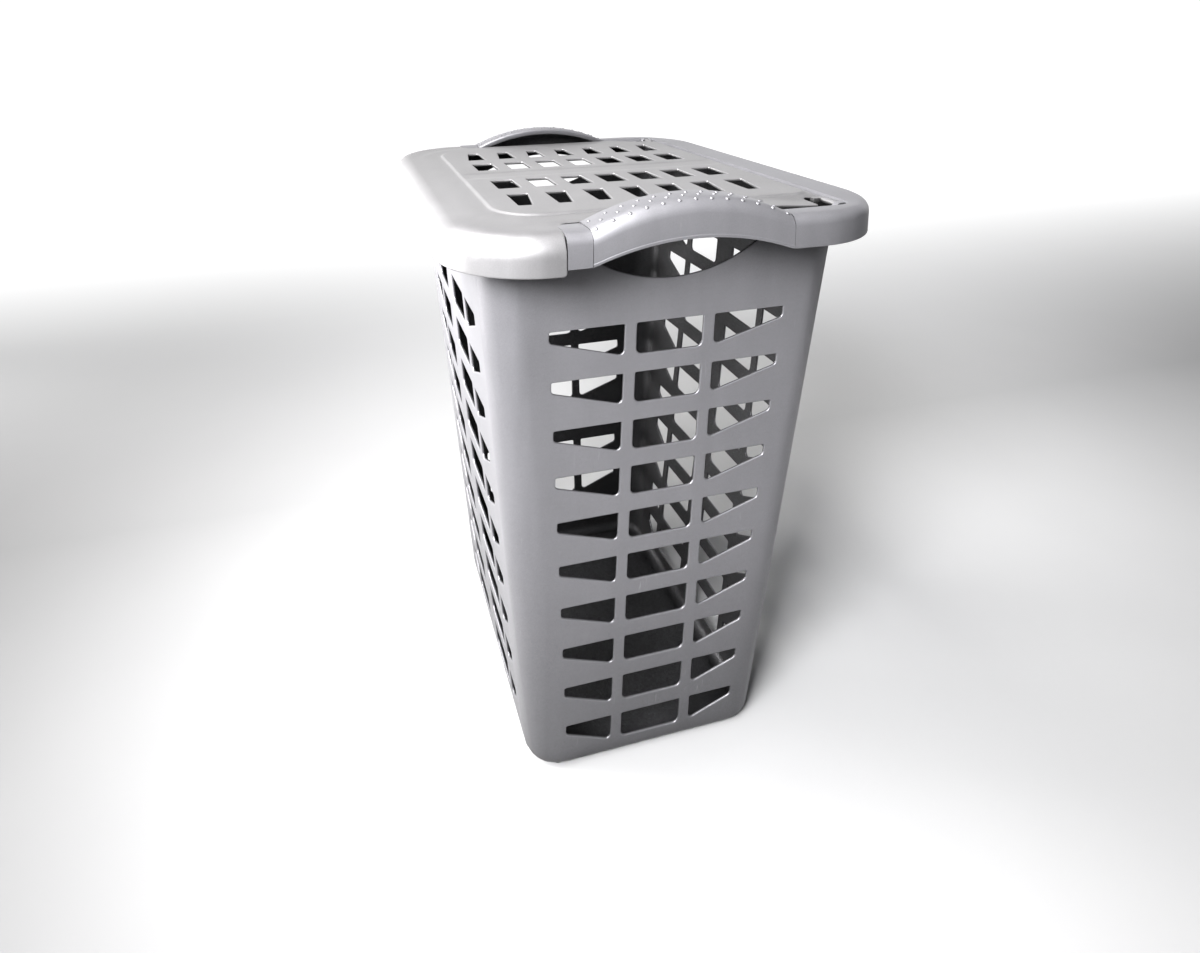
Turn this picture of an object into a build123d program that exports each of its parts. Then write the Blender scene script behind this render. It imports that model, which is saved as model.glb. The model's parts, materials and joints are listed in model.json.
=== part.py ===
from build123d import *
import os

# Slotted laundry hamper with a hinged lid. Millimetres, +Z up.
# The origin is the centre of the base, on the floor. X runs along the long side,
# the lid opens at the front (-Y) and hinges along the rear (+Y).

# Overall rim
rim_half_x = 240.5
rim_half_y = 193.8
rim_corner_r = 80.0
rim_top_z = 554.0
rim_skirt_bottom_z = 526.0
rim_round = 11.0

# Tapered walls
wall = 2.5
floor_half_x = 165.8
floor_half_y = 119.0
wall_top_half_x = 201.0
wall_top_half_y = 165.0
wall_top_z = 546.0
wall_corner_r = 31.0
base_edge_r = 12.0
floor_thickness = 4.0
wall_foot_z = 14.0
foot_recess_depth = 2.5
foot_recess_inset = 16.0
foot_recess_corner_r = 15.0

# Wall slots: rows of the same pitch on all four walls
slot_rows = 10
first_slot_top_z = 460.0
slot_row_pitch = 45.6
slot_height = 28.5
slot_outer_height = 10.0
slot_corner_r = 5.0
slot_corner_share = 0.4
end_middle_half = 30.4
end_outer_from = 41.3
end_outer_to_top = 106.8
end_outer_to_bottom = 86.4
long_middle_from = 18.0
long_middle_to = 79.0
long_outer_from = 90.0
long_outer_to_top = 137.0
long_outer_to_bottom = 114.0

# Hand holes in the end walls
hand_half_width = 76.0
hand_bottom_z = 498.0
hand_tip_z = 524.0
hand_top_z = 541.0

# Rim channel round the basket
ledge_top_z = 548.5
rim_inner_x = 206.0
rim_inner_rear_y = 152.6
front_rim_inset = 5.0
front_rim_skirt_z = 531.0
front_rim_round = 5.5
lid_seam_y = -105.0
seam_gap = 0.6

# Arched handles
crease_y = 84.6
arch_rise = 20.6
skirt_rise = 16.0
lip_depth = 7.0
arch_round = 7.0
level_rise = 0.001

# Lid
lid_top_z = 555.5
lid_thickness = 3.0
lid_edge_x = 204.0
lid_rear_y = 150.0
lid_skirt_z = 522.0
lid_round = 14.0
lid_rear_round = 2.9
lid_rows = ((-144.0, -97.0), (-70.0, -29.0), (29.0, 70.0), (97.0, 144.0))
lid_columns = 7
lid_column_pitch = 36.0
lid_slot_width = 21.6
lid_slot_narrow = 12.0
lid_slot_wide = 19.5

# Hinge
hinge_y = 146.5
hinge_z = 551.0
pin_r = 2.5
bore_r = 2.56
lug_from_x = 180.0
pin_from_x = 186.0
pin_to_x = 211.0
lug_front_y = 138.0
notch_front_y = 134.0
socket_from_x = 206.0
socket_to_x = 213.0
socket_half_y = 5.5
socket_bottom_z = 543.0
socket_top_z = 555.0

cut_margin = 20.0


def wall_half_x(z):
    """Half-length of the basket's outside at height z."""
    return floor_half_x + (wall_top_half_x - floor_half_x) * z / wall_top_z


def wall_half_y(z):
    """Half-width of the basket's outside at height z."""
    return floor_half_y + (wall_top_half_y - floor_half_y) * z / wall_top_z


def block(x0, x1, y0, y1, z0, z1):
    """A box between two opposite corners."""
    size = (abs(x1 - x0), abs(y1 - y0), abs(z1 - z0))
    return Pos((x0 + x1) / 2, (y0 + y1) / 2, (z0 + z1) / 2) * Box(*size)


def rounded_loft(half_x, half_y, radius, z0, z1, grow_x, grow_y):
    """A rounded rectangle at z0 lofted to one larger by grow_x and grow_y at z1."""
    low = Pos(0, 0, z0) * RectangleRounded(2 * half_x, 2 * half_y, radius)
    high_size = (2 * (half_x + grow_x), 2 * (half_y + grow_y))
    high = Pos(0, 0, z1) * RectangleRounded(*high_size, radius)
    return loft([low, high], ruled=True)


def basket_shell():
    """The tapered tub with its rounded bottom edge, open at the top, before any cutting."""
    grow_x = wall_top_half_x - floor_half_x
    grow_y = wall_top_half_y - floor_half_y
    outside = rounded_loft(floor_half_x, floor_half_y, wall_corner_r, 0, wall_top_z, grow_x, grow_y)
    bottom_edges = outside.edges().group_by(Axis.Z)[0]
    outside = fillet(bottom_edges, base_edge_r)
    inside = rounded_loft(
        wall_half_x(floor_thickness) - wall,
        wall_half_y(floor_thickness) - wall,
        wall_corner_r - wall,
        floor_thickness,
        wall_top_z,
        wall_top_half_x - wall_half_x(floor_thickness),
        wall_top_half_y - wall_half_y(floor_thickness),
    )
    inside_edges = inside.edges().group_by(Axis.Z)[0]
    inside = fillet(inside_edges, base_edge_r - wall)
    return outside - inside


def sector(half_low, half_high, along_x, side):
    """The wedge that holds one flat wall: it widens upwards with the taper."""
    depth = rim_half_x + cut_margin
    low = Pos(0, 0, wall_foot_z) * Rectangle(2 * half_low, depth)
    high = Pos(0, 0, wall_top_z) * Rectangle(2 * half_high, depth)
    wedge = Pos(0, side * depth / 2, 0) * loft([low, high], ruled=True)
    if along_x:
        return wedge
    return Rot(0, 0, -90) * wedge


def wall_sector(name):
    """The wedge for a wall by its name."""
    low_x = wall_half_x(wall_foot_z) - wall_corner_r
    high_x = wall_top_half_x - wall_corner_r
    low_y = wall_half_y(wall_foot_z) - wall_corner_r
    high_y = wall_top_half_y - wall_corner_r
    sectors = {
        "front_wall": (low_x, high_x, True, -1),
        "rear_wall": (low_x, high_x, True, 1),
        "end_wall_left": (low_y, high_y, False, -1),
        "end_wall_right": (low_y, high_y, False, 1),
    }
    return sector(*sectors[name])


def long_wall_plate(side):
    """The flat part of the front (-1) or rear (+1) wall before its slots are cut."""
    low_x = wall_half_x(wall_foot_z) - wall_corner_r
    high_x = wall_top_half_x - wall_corner_r
    low_y = side * wall_half_y(wall_foot_z)
    high_y = side * wall_top_half_y
    corners = [
        (-low_x, low_y, wall_foot_z),
        (low_x, low_y, wall_foot_z),
        (high_x, high_y, wall_top_z),
        (-high_x, high_y, wall_top_z),
    ]
    return extrude(make_face(Polyline(*corners, close=True)), amount=wall, dir=(0, -side, 0))


def end_wall_plate(side):
    """The flat part of the left (-1) or right (+1) end wall before its slots are cut."""
    low_y = wall_half_y(wall_foot_z) - wall_corner_r
    high_y = wall_top_half_y - wall_corner_r
    low_x = side * wall_half_x(wall_foot_z)
    high_x = side * wall_top_half_x
    corners = [
        (low_x, -low_y, wall_foot_z),
        (low_x, low_y, wall_foot_z),
        (high_x, high_y, wall_top_z),
        (high_x, -high_y, wall_top_z),
    ]
    return extrude(make_face(Polyline(*corners, close=True)), amount=wall, dir=(-side, 0, 0))


def slot_outline(inner, outer, top, inner_height, outer_height):
    """A slot face in its wall's plane: level top, bottom rising to the outer end, round bottom corners."""
    points = [(inner, top), (outer, top), (outer, top - outer_height), (inner, top - inner_height)]
    face = make_face(Polyline(*points, close=True))
    low_corners = face.vertices().sort_by(Axis.Y)[:2]
    radius = min(slot_corner_r, slot_corner_share * outer_height)
    return fillet(low_corners, radius)


def slot_faces(middle, outer_from, outer_to_top, outer_to_bottom):
    """Every slot of one wall, as faces with x across the wall and y up it."""
    faces = []
    for row in range(slot_rows):
        top = first_slot_top_z - row * slot_row_pitch
        outer_to = outer_to_top + (outer_to_bottom - outer_to_top) * row / (slot_rows - 1)
        for inner, outer in middle:
            faces.append(slot_outline(inner, outer, top, slot_height, slot_height))
        for side in (-1, 1):
            ends = (side * outer_from, side * outer_to)
            faces.append(slot_outline(*ends, top, slot_height, slot_outer_height))
    return faces


def long_wall_cutters(side):
    """The slots of the front (-1) or rear (+1) wall as prisms through it."""
    middle = [(sign * long_middle_from, sign * long_middle_to) for sign in (-1, 1)]
    faces = slot_faces(middle, long_outer_from, long_outer_to_top, long_outer_to_bottom)
    start = floor_half_y - cut_margin
    plane = Plane(origin=(0, side * start, 0), x_dir=(1, 0, 0), z_dir=(0, -1, 0))
    return [extrude(plane * face, amount=-side * (rim_half_y - start)) for face in faces]


def end_wall_cutters(side):
    """The slots of the left (-1) or right (+1) end wall as prisms through it."""
    middle = [(-end_middle_half, end_middle_half)]
    faces = slot_faces(middle, end_outer_from, end_outer_to_top, end_outer_to_bottom)
    start = floor_half_x - cut_margin
    plane = Plane(origin=(side * start, 0, 0), x_dir=(0, 1, 0), z_dir=(1, 0, 0))
    return [extrude(plane * face, amount=side * (rim_half_x - start)) for face in faces]


def hand_hole(side):
    """The lens-shaped hand hole of one end wall, as a prism through it."""
    tips = ((-hand_half_width, hand_tip_z), (hand_half_width, hand_tip_z))
    lower = ThreePointArc(tips[0], (0, hand_bottom_z), tips[1])
    upper = ThreePointArc(tips[1], (0, hand_top_z), tips[0])
    plane = Plane(origin=(0, 0, 0), x_dir=(0, 1, 0), z_dir=(1, 0, 0))
    return extrude(plane * make_face(lower + upper), amount=side * rim_half_x)


def base_panel(shell):
    """The floor of the basket with the rounded foot of its walls, and a shallow recess underneath."""
    panel = shell & block(-rim_half_x, rim_half_x, -rim_half_y, rim_half_y, 0, wall_foot_z)
    recess_x = floor_half_x - foot_recess_inset
    recess_y = floor_half_y - foot_recess_inset
    recess = extrude(RectangleRounded(2 * recess_x, 2 * recess_y, foot_recess_corner_r), foot_recess_depth)
    return panel - recess


def basket_walls(shell):
    """The four slotted walls and the four rounded corners between them."""
    plates = {
        "front_wall": (long_wall_plate(-1), long_wall_cutters(-1)),
        "rear_wall": (long_wall_plate(1), long_wall_cutters(1)),
        "end_wall_left": (end_wall_plate(-1), end_wall_cutters(-1) + [hand_hole(-1)]),
        "end_wall_right": (end_wall_plate(1), end_wall_cutters(1) + [hand_hole(1)]),
    }
    parts = {}
    corners = shell & block(-rim_half_x, rim_half_x, -rim_half_y, rim_half_y, wall_foot_z, wall_top_z)
    for name, (plate, slots) in plates.items():
        parts[name] = plate - slots
        corners = corners - wall_sector(name)
    for y_name, y_side in (("front", -1), ("rear", 1)):
        for x_name, x_side in (("left", -1), ("right", 1)):
            quarter = block(0, x_side * rim_half_x, 0, y_side * rim_half_y, 0, wall_top_z)
            parts[f"corner_{y_name}_{x_name}"] = corners & quarter
    return parts


def channel(inset, skirt_z, top_z, edge_round, inner_x, inner_y):
    """A flange with a drop skirt all round: an upside-down tray without its middle."""
    plan = RectangleRounded(
        2 * (rim_half_x - inset), 2 * (rim_half_y - inset), rim_corner_r - inset
    )
    outside = Pos(0, 0, skirt_z) * extrude(plan, top_z - skirt_z)
    outside = fillet(outside.edges().group_by(Axis.Z)[-1], edge_round)
    inner_plan = RectangleRounded(
        2 * (rim_half_x - inset - wall), 2 * (rim_half_y - inset - wall), rim_corner_r - inset - wall
    )
    inner_height = top_z - wall - skirt_z
    inside = Pos(0, 0, skirt_z) * extrude(inner_plan, inner_height)
    inside = fillet(inside.edges().group_by(Axis.Z)[-1], edge_round - wall)
    middle = block(-inner_x, inner_x, -inner_y, inner_y, skirt_z, top_z)
    return outside - inside - middle


def rear_riser():
    """The upright that carries the rear rim on top of the rear wall and the rear corners."""
    outside = RectangleRounded(2 * wall_top_half_x, 2 * wall_top_half_y, wall_corner_r)
    inside = RectangleRounded(
        2 * (wall_top_half_x - wall), 2 * (wall_top_half_y - wall), wall_corner_r - wall
    )
    ring = Pos(0, 0, wall_top_z) * extrude(outside - inside, rim_top_z - wall - wall_top_z)
    return ring & block(-rim_half_x, rim_half_x, rim_inner_rear_y, rim_half_y, 0, rim_top_z)


def rim_parts():
    """The rim of the basket: a flush rim at the rear and ends, a lower inset rim under the lid's skirt."""
    flush = channel(0, rim_skirt_bottom_z, rim_top_z, rim_round, rim_inner_x, rim_inner_rear_y)
    flush = flush + rear_riser()
    ledge_inner_x = wall_top_half_x - wall
    ledge_inner_y = wall_top_half_y - wall
    inset = channel(
        front_rim_inset, front_rim_skirt_z, ledge_top_z, front_rim_round, ledge_inner_x, ledge_inner_y
    )
    reach_x = rim_half_x + cut_margin
    reach_y = rim_half_y + cut_margin
    reach_z = rim_top_z + cut_margin
    straight_x = rim_half_x - rim_corner_r
    flush_from_y = lid_seam_y + seam_gap
    parts = {
        "front_rim": inset & block(-straight_x, straight_x, -reach_y, 0, 0, reach_z),
        "rear_rim": flush & block(-straight_x, straight_x, 0, reach_y, 0, reach_z),
    }
    for name, side in (("left", -1), ("right", 1)):
        corner = block(side * straight_x, side * reach_x, -reach_y, flush_from_y, 0, reach_z)
        parts[f"front_rim_corner_{name}"] = inset & corner
        foot = block(side * straight_x, side * reach_x, flush_from_y, -crease_y, 0, reach_z)
        parts[f"handle_foot_{name}"] = flush & foot
        rear = block(side * straight_x, side * reach_x, crease_y, reach_y, 0, reach_z)
        seat = block(side * socket_from_x, side * socket_to_x, hinge_y - socket_half_y,
                     hinge_y + socket_half_y, 0, reach_z)
        parts[f"rear_rim_corner_{name}"] = (flush & rear) - seat
    return parts


def end_ledges():
    """The ledges on top of the end walls: each carries the lid's short edge and joins wall and handle."""
    parts = {}
    for name, side in (("left", -1), ("right", 1)):
        inner = side * (wall_top_half_x - wall)
        outer = side * rim_inner_x
        parts[f"end_ledge_{name}"] = block(
            inner, outer, lid_seam_y + seam_gap, crease_y, wall_top_z, ledge_top_z
        )
    return parts


def arch_band(low, low_rise, high, high_rise):
    """The face between two arcs across the handle, with x across the hamper and y up."""
    lower = ThreePointArc((-crease_y, low), (0, low + low_rise), (crease_y, low))
    upper = ThreePointArc((crease_y, high), (0, high + high_rise), (-crease_y, high))
    right = Line((crease_y, low), (crease_y, high))
    left = Line((-crease_y, high), (-crease_y, low))
    return make_face(lower + right + upper + left)


def handle_parts(name, side):
    """One arched handle: the grip across the top with its inner lip, and the skirt hanging from it."""
    plane = Plane(origin=(side * rim_inner_x, 0, 0), x_dir=(0, 1, 0), z_dir=(1, 0, 0))
    depth = rim_half_x - rim_inner_x
    body = extrude(plane * arch_band(rim_skirt_bottom_z, skirt_rise, rim_top_z, arch_rise), side * depth)
    arcs = body.edges().filter_by(GeomType.CIRCLE)
    top_edge = arcs.sort_by(lambda arc: arc.center().Z + side * arc.center().X)[-1]
    body = fillet(top_edge, arch_round)
    hollow_plane = Plane(origin=(side * (rim_inner_x + wall), 0, 0), x_dir=(0, 1, 0), z_dir=(1, 0, 0))
    hollow_face = arch_band(rim_skirt_bottom_z - cut_margin, level_rise, rim_top_z - wall, arch_rise)
    hollow = extrude(hollow_plane * hollow_face, side * (depth - 2 * wall))
    lip_face = arch_band(rim_skirt_bottom_z - cut_margin, level_rise, rim_top_z - lip_depth, arch_rise)
    under_lip = extrude(plane * lip_face, side * (depth - wall))
    body = body - hollow - under_lip
    below_round = arch_band(rim_skirt_bottom_z - cut_margin, level_rise, rim_top_z - arch_round, arch_rise)
    skirt_plane = Plane(origin=(side * (rim_half_x - wall), 0, 0), x_dir=(0, 1, 0), z_dir=(1, 0, 0))
    grip = body - extrude(skirt_plane * below_round, side * (wall + cut_margin))
    skirt_face = arch_band(rim_skirt_bottom_z, skirt_rise, rim_top_z - arch_round, arch_rise)
    skirt = extrude(skirt_plane * skirt_face, side * wall)
    return {f"handle_grip_{name}": grip, f"handle_skirt_{name}": skirt}


def hinge_sockets():
    """The bored blocks in the rear corners of the rim that take the lid's hinge pins."""
    parts = {}
    for name, side in (("left", -1), ("right", 1)):
        body = block(side * socket_from_x, side * socket_to_x, hinge_y - socket_half_y,
                     hinge_y + socket_half_y, socket_bottom_z, socket_top_z)
        bore = Pos(side * (socket_from_x + socket_to_x) / 2, hinge_y, hinge_z) * Rot(0, 90, 0) * Cylinder(
            bore_r, socket_to_x - socket_from_x + wall
        )
        parts[f"hinge_socket_{name}"] = body - bore
    return parts


def lid_plan():
    """The lid seen from above: full width over the front rim, cut back beside the handles."""
    full = RectangleRounded(2 * rim_half_x, 2 * rim_half_y, rim_corner_r)
    front = Pos(0, lid_seam_y - rim_half_y, 0) * Rectangle(2 * (rim_half_x + cut_margin), 2 * rim_half_y)
    back_length = lid_rear_y - lid_seam_y
    back = Pos(0, lid_seam_y + back_length / 2, 0) * Rectangle(2 * lid_edge_x, back_length)
    return (full & front) + back


def lid_slots():
    """Seven columns and four rows of slots; the outer rows narrow away from the middle of the lid."""
    cutters = []
    for column in range(lid_columns):
        centre = (column - (lid_columns - 1) / 2) * lid_column_pitch
        for row, (x0, x1) in enumerate(lid_rows):
            if row in (1, 2):
                width = x1 - x0
                face = Pos((x0 + x1) / 2, centre) * Rectangle(width, lid_slot_width)
            else:
                inner, outer = (x1, x0) if row == 0 else (x0, x1)
                turn = -1 if row == 0 else 1
                straight = centre - turn * lid_slot_wide / 2
                points = [
                    (inner, straight),
                    (outer, straight),
                    (outer, straight + turn * lid_slot_narrow),
                    (inner, straight + turn * lid_slot_wide),
                ]
                face = make_face(Polyline(*points, close=True))
            cutters.append(Pos(0, 0, lid_top_z - lid_thickness) * extrude(face, lid_thickness))
    return cutters


def lid_parts():
    """The slotted lid panel, its skirt in three lengths, and its two hinge lugs with pins."""
    body = Pos(0, 0, lid_skirt_z) * extrude(lid_plan(), lid_top_z - lid_skirt_z)
    top_edges = body.edges().group_by(Axis.Z)[-1]
    round_edges = [edge for edge in top_edges if edge.center().Y < lid_seam_y - seam_gap]
    body = fillet(round_edges, lid_round)
    rear_edge = body.edges().group_by(Axis.Z)[-1].sort_by(Axis.Y)[-1]
    body = fillet(rear_edge, lid_rear_round)
    inner_plan = RectangleRounded(2 * (rim_half_x - wall), 2 * (rim_half_y - wall), rim_corner_r - wall)
    inner_height = lid_top_z - lid_thickness - lid_skirt_z
    hollow = Pos(0, 0, lid_skirt_z) * extrude(inner_plan, inner_height)
    hollow = fillet(hollow.edges().group_by(Axis.Z)[-1], lid_round - wall)
    body = body - hollow
    panel_zone = block(-rim_half_x, rim_half_x, -rim_half_y, rim_half_y, lid_top_z - lid_thickness, lid_top_z)
    straight_x = rim_half_x - rim_corner_r
    reach_y = rim_half_y + cut_margin
    notches = [
        block(side * pin_from_x, side * rim_half_x, notch_front_y, lid_rear_y + cut_margin, 0, lid_top_z)
        for side in (-1, 1)
    ]
    panel = (body & panel_zone) - lid_slots() - notches
    between_handles = block(-lid_edge_x, lid_edge_x, -reach_y, reach_y, 0, lid_top_z)
    parts = {"lid_panel": panel & between_handles}
    beside_handles = panel - between_handles
    skirt = body & block(-rim_half_x, rim_half_x, -reach_y, lid_seam_y, 0, lid_top_z - lid_thickness)
    parts["lid_front_skirt"] = skirt & block(-straight_x, straight_x, -reach_y, 0, 0, lid_top_z)
    for name, side in (("left", -1), ("right", 1)):
        corner = block(side * straight_x, side * (rim_half_x + cut_margin), -reach_y, 0, 0, lid_top_z)
        parts[f"lid_corner_skirt_{name}"] = (skirt + beside_handles) & corner
        lug = block(side * lug_from_x, side * pin_from_x, lug_front_y, hinge_y + pin_r,
                    hinge_z - pin_r, lid_top_z - lid_thickness)
        pin = Pos(side * (pin_from_x + pin_to_x) / 2, hinge_y, hinge_z) * Rot(0, 90, 0) * Cylinder(
            pin_r, pin_to_x - pin_from_x
        )
        parts[f"hinge_pin_{name}"] = lug + pin
    return parts


def build():
    """Every node of the hamper by name."""
    shell = basket_shell()
    parts = {"base_panel": base_panel(shell)}
    parts.update(basket_walls(shell))
    parts.update(rim_parts())
    parts.update(end_ledges())
    for name, side in (("left", -1), ("right", 1)):
        parts.update(handle_parts(name, side))
    parts.update(hinge_sockets())
    parts.update(lid_parts())
    return parts


os.makedirs("parts", exist_ok=True)
for node, shape in build().items():
    export_step(shape, f"parts/{node}.step")
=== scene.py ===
import json
import math

import bmesh
import bpy
import numpy as np
from mathutils import Matrix, Vector, geometry


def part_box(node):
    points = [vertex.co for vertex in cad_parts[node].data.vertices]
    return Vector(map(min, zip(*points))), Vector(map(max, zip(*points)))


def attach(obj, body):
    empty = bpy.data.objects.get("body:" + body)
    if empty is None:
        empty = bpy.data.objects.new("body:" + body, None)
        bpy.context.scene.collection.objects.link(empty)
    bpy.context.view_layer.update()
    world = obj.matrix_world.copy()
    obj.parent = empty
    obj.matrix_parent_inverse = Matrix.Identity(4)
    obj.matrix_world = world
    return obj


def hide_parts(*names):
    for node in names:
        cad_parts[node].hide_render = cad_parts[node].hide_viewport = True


# A slotted silver-grey laundry hamper with a hinged lid, in metres, in the frame of its CAD.
# Walls and lid are thin shells: a flat layout with its slots is bent into shape by a formula, given a
# thickness, and every free edge is rounded. Rims and handles are sections swept along the outline.

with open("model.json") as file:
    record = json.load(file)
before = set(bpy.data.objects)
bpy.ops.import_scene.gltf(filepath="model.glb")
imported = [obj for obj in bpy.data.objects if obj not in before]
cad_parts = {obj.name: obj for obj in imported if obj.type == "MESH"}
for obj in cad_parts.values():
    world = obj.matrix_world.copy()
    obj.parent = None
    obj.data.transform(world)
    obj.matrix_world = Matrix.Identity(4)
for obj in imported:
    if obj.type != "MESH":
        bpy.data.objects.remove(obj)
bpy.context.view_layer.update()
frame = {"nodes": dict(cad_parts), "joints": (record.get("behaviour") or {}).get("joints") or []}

MM = 0.001
SIDES = {"left": -1, "right": 1}


def low(node):
    """The lowest corner of a CAD node's box."""
    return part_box(node)[0]


def high(node):
    """The highest corner of a CAD node's box."""
    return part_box(node)[1]


# Sizes taken from the frame
RIM_X = high("rear_rim_corner_right").x
RIM_Y = high("rear_rim").y
RIM_R = RIM_X - high("rear_rim").x
RIM_TOP = high("rear_rim").z
RIM_SKIRT = low("rear_rim").z
FOOT_TRIM_X = 0.9 * MM
FOOT_TRIM_Y = 1.2 * MM
FOOT_X = high("base_panel").x - FOOT_TRIM_X
FOOT_Y = high("base_panel").y - FOOT_TRIM_Y
WALL_TOP = high("end_wall_right").z
TOP_X = high("end_wall_right").x
TOP_Y = high("rear_wall").y
WALL_R = TOP_X - high("rear_wall").x
LEDGE_TOP = high("end_ledge_right").z
RIM_INNER_X = high("end_ledge_right").x
RIM_INNER_Y = low("rear_rim").y
CREASE_Y = high("handle_grip_right").y
DOT_HEIGHT = 1.0 * MM
DOT_CLEARANCE = 0.1 * MM
ARCH_RISE = high("handle_grip_right").z - RIM_TOP - DOT_HEIGHT - DOT_CLEARANCE
SEAM_Y = high("lid_corner_skirt_right").y
LID_TOP = high("lid_panel").z
LID_REAR = high("lid_panel").y
LID_SKIRT = low("lid_front_skirt").z
FRONT_RIM_X = high("front_rim_corner_right").x
FRONT_RIM_Y = -low("front_rim").y
FRONT_RIM_SKIRT = low("front_rim").z
FRONT_RIM_TOP = high("front_rim").z
SOCKET_LOW, SOCKET_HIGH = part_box("hinge_socket_right")
HINGE = Vector(next(joint for joint in frame["joints"] if joint["name"] == "lid_hinge")["pos_m"])

# Wall and edge sizes
WALL = 2.5 * MM
EDGE_ROUND = 1.0 * MM
SUPPORT = 0.7 * MM
ROUND_STEPS = 3
CLEAR = 1.2 * MM
BASE_ROUND = 12 * MM
GRID = 9 * MM
CORNER_STEPS = 9
LONG_WALL_BOW = 3 * MM
NORMAL_STEP = 0.05 * MM
TUB_WELD = 0.06 * MM


def smooth(start, end, value):
    """0 before start, 1 after end, eased between them."""
    t = np.clip((value - start) / (end - start), 0, 1)
    return t * t * (3 - 2 * t)


def rounded_distance(x, y, half_x, half_y, radius):
    """Signed distance from points to a rounded rectangle, negative inside it."""
    over_x = np.abs(x) - (half_x - radius)
    over_y = np.abs(y) - (half_y - radius)
    outside = np.hypot(np.maximum(over_x, 0), np.maximum(over_y, 0))
    return outside + np.minimum(np.maximum(over_x, over_y), 0) - radius


def fillet_loop(corners, steps=4):
    """A closed polygon of (x, y, radius) corners as points, each corner an arc of that radius."""
    points = []
    count = len(corners)
    for i, (x, y, radius) in enumerate(corners):
        here = Vector((x, y))
        back = Vector(corners[i - 1][:2]) - here
        ahead = Vector(corners[(i + 1) % count][:2]) - here
        back_unit, ahead_unit = back.normalized(), ahead.normalized()
        turn = back_unit.angle(ahead_unit)
        if radius <= 0 or turn > math.pi - 0.02:
            points.append(tuple(here))
            continue
        reach = min(radius / math.tan(turn / 2), 0.49 * back.length, 0.49 * ahead.length)
        radius = reach * math.tan(turn / 2)
        centre = here + (back_unit + ahead_unit).normalized() * (radius / math.sin(turn / 2))
        first = here + back_unit * reach - centre
        sweep = math.pi - turn
        if first.y * back_unit.x - first.x * back_unit.y < 0:
            sweep = -sweep
        for step in range(steps + 1):
            angle = sweep * step / steps
            cos, sin = math.cos(angle), math.sin(angle)
            turned_x = first.x * cos - first.y * sin
            turned_y = first.x * sin + first.y * cos
            points.append((centre.x + turned_x, centre.y + turned_y))
    return np.array(points)


def offset_loop(loop, distance):
    """A counter-clockwise loop moved inwards by distance (outwards where it is negative)."""
    ahead = np.roll(loop, -1, 0) - loop
    ahead = ahead / np.maximum(np.linalg.norm(ahead, axis=1, keepdims=True), 1e-12)
    back = np.roll(ahead, 1, 0)
    inward = np.stack([-ahead[:, 1], ahead[:, 0]], 1)
    inward_back = np.stack([-back[:, 1], back[:, 0]], 1)
    middle = inward + inward_back
    scale = 2 / np.maximum((middle * middle).sum(1, keepdims=True), 0.5)
    return loop + middle * scale * distance


def inside(points, loop):
    """Which points lie inside a closed loop."""
    found = np.zeros(len(points), bool)
    x, y = points[:, 0], points[:, 1]
    for (x0, y0), (x1, y1) in zip(loop, np.roll(loop, -1, 0)):
        if y0 == y1:
            continue
        crosses = (y0 > y) != (y1 > y)
        found ^= crosses & (x < (x1 - x0) * (y - y0) / (y1 - y0) + x0)
    return found


def counter_clockwise(loop):
    """The loop in counter-clockwise order."""
    ahead = np.roll(loop, -1, 0)
    area = (loop[:, 0] * ahead[:, 1] - ahead[:, 0] * loop[:, 1]).sum()
    return loop if area > 0 else loop[::-1]


def surface(bend, flat):
    """The points and outward normals of the bent surface at flat layout points."""
    step = NORMAL_STEP
    along = bend(flat + [step, 0]) - bend(flat - [step, 0])
    up = bend(flat + [0, step]) - bend(flat - [0, step])
    normal = np.cross(along, up)
    normal /= np.maximum(np.linalg.norm(normal, axis=1, keepdims=True), 1e-15)
    return bend(flat), normal


def edge_rings(loop, inward, thickness, rounding):
    """The rings of a rounded free edge, from the outer sheet to the inner one, as (flat loop, depth)."""
    if rounding == 0:
        return [(loop, 0.0), (loop, thickness)]
    start = offset_loop(loop, inward * rounding)
    outer = [(offset_loop(loop, inward * (rounding + SUPPORT)), 0.0)]
    for step in range(ROUND_STEPS + 1):
        angle = math.pi / 2 * step / ROUND_STEPS
        outer.append((start + (loop - start) * math.sin(angle), rounding * (1 - math.cos(angle))))
    inner = [(ring, thickness - depth) for ring, depth in reversed(outer)]
    return outer + inner


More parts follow.
